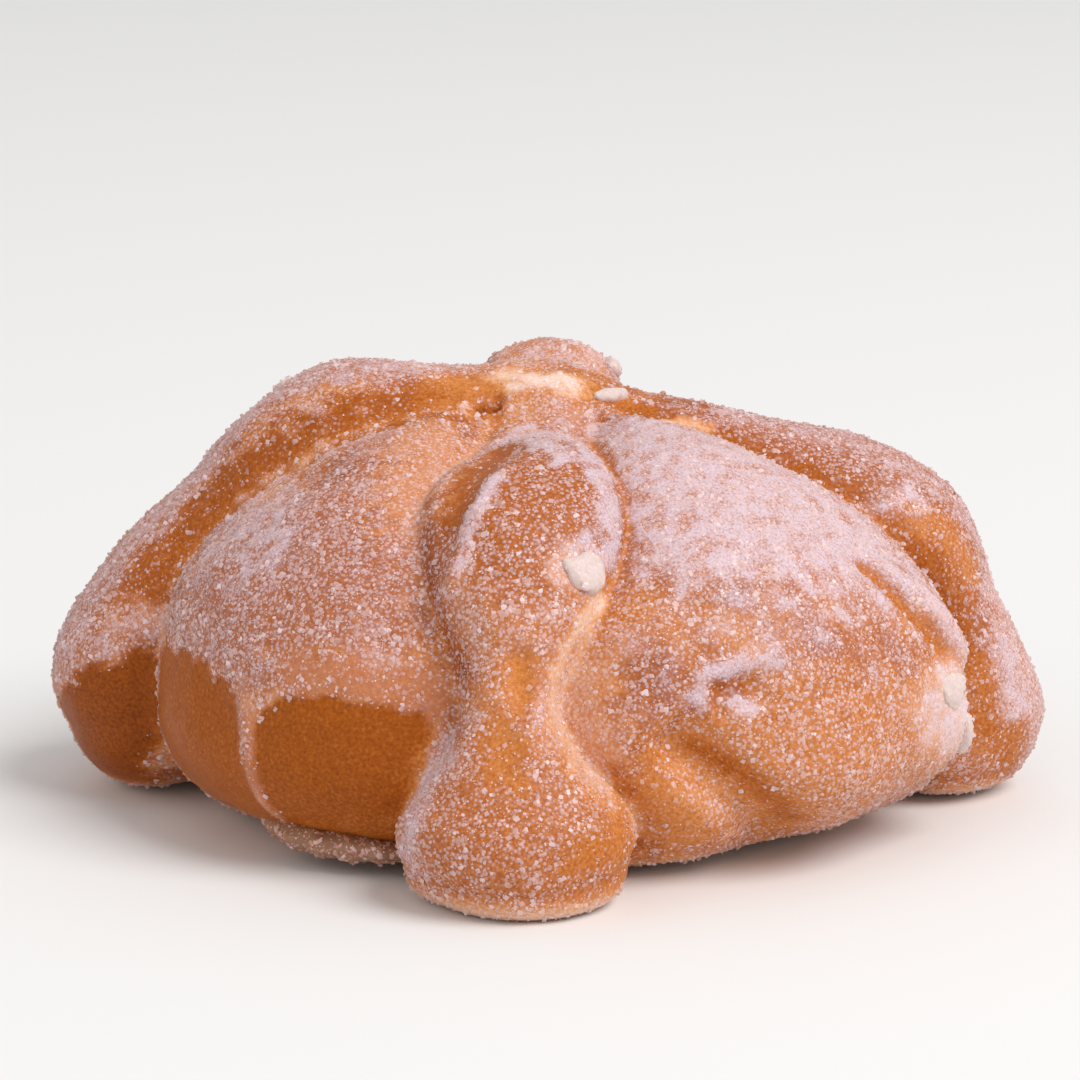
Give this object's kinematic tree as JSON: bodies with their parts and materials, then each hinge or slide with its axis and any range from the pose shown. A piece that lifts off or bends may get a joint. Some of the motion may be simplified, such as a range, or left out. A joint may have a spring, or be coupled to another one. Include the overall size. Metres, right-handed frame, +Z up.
{
  "type": "pan de muerto",
  "caption": "Round sweet bread with crossed bone-shaped strips of dough over its dome, baked in one piece and rolled in sugar.",
  "frame": {"origin": "centre of the bounding box, on the underside that rests on a table", "axes": "+Z up out of the dome, -Y towards the bone that faces the viewer, +X along the long pair of bones"},
  "size_m": [0.1233, 0.1212, 0.055],
  "materials": {
    "crust": "satin egg-washed crust, rolled in sugar",
    "sugar": "loose and caked granulated sugar"
  },
  "bodies": {
    "root": {"bread": "crust"}
  },
  "joints": []
}
